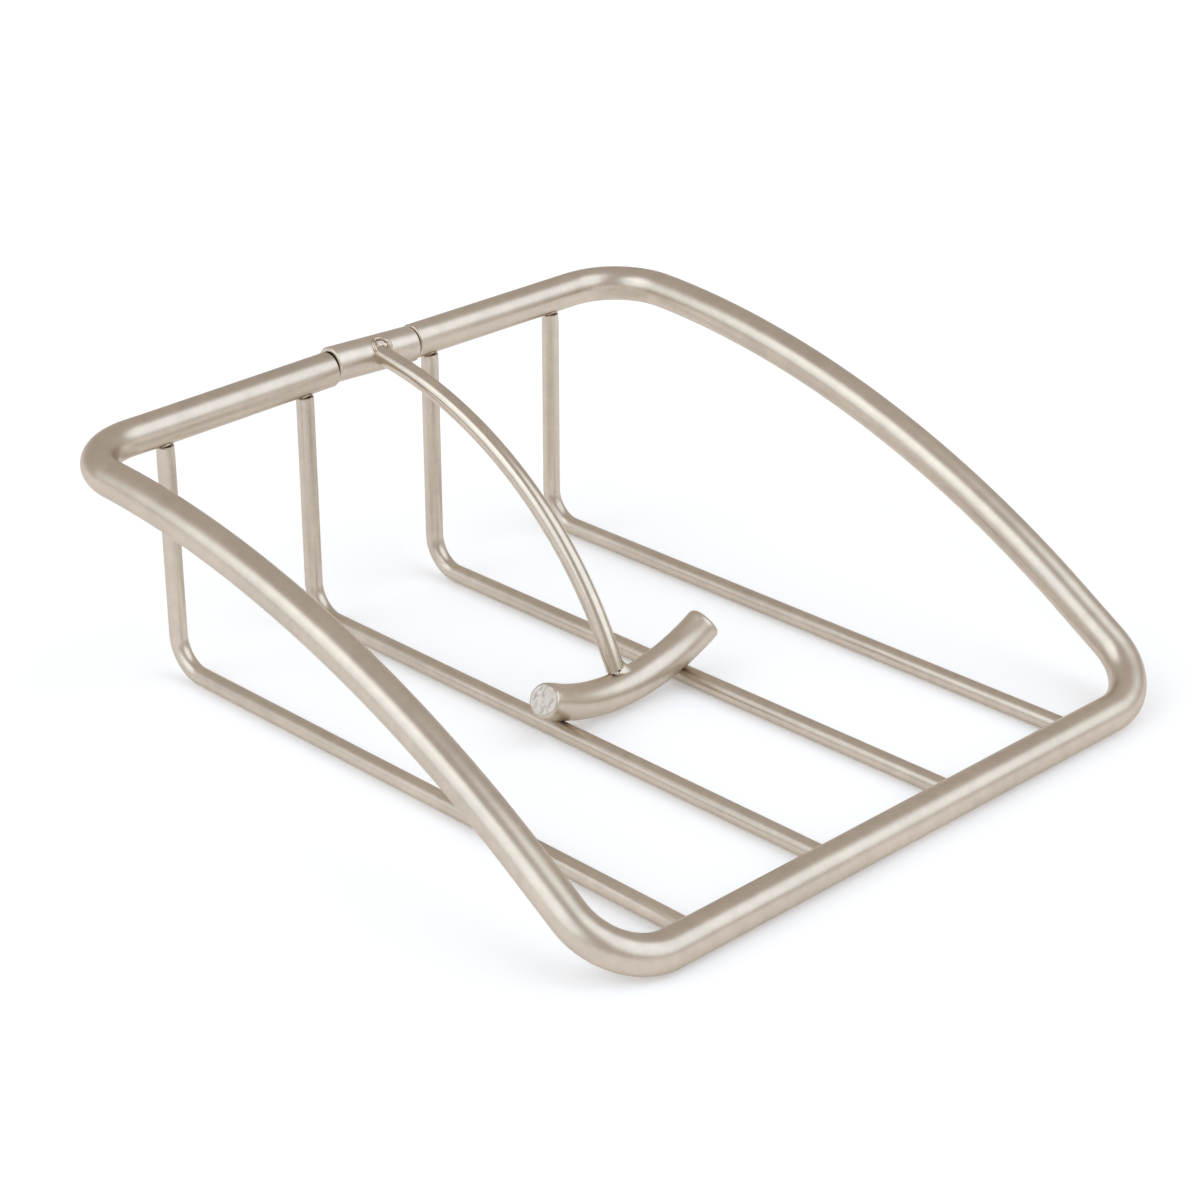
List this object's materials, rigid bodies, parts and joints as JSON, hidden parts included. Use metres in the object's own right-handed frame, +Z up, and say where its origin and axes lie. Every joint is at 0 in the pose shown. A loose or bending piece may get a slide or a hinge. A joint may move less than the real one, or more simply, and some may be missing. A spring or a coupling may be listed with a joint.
{
  "type": "napkin holder",
  "caption": "Flat napkin holder in satin nickel: a bent bar hoop with wire bed and uprights, and a swinging bow arm whose curved weight bar holds the stack down.",
  "frame": {"origin": "on the table, below the middle of the bounding box", "axes": "+Z up, +Y towards the raised back rail, +X to the right seen from the low front rail"},
  "size_m": [0.197, 0.2032, 0.0755],
  "materials": {
    "satin_nickel": "satin nickel plating over steel, fine matt grain",
    "weld": "plated weld metal, slightly rough",
    "pin_steel": "plain turned steel"
  },
  "bodies": {
    "frame": {"frame_hoop": "satin_nickel", "pivot_pin": "pin_steel", "bed_wire_1": "satin_nickel", "bed_wire_2": "satin_nickel", "bed_wire_3": "satin_nickel", "bed_wire_4": "satin_nickel", "neck_weld_1": "weld", "neck_weld_2": "weld", "neck_weld_3": "weld", "neck_weld_4": "weld", "bed_weld_1": "weld", "bed_weld_2": "weld", "bed_weld_3": "weld", "bed_weld_4": "weld"},
    "arm": {"pivot_sleeve": "satin_nickel", "arm_rod": "satin_nickel", "weight_bar": "satin_nickel", "arm_weld_sleeve": "weld", "arm_weld_bar": "weld"}
  },
  "joints": [
    {"name": "arm_pivot", "type": "hinge", "parent": "frame", "child": "arm", "pos_m": [0.0025, 0.09667, 0.07025], "axis": [-1, 0, 0], "range_deg": [0, 244]}
  ]
}
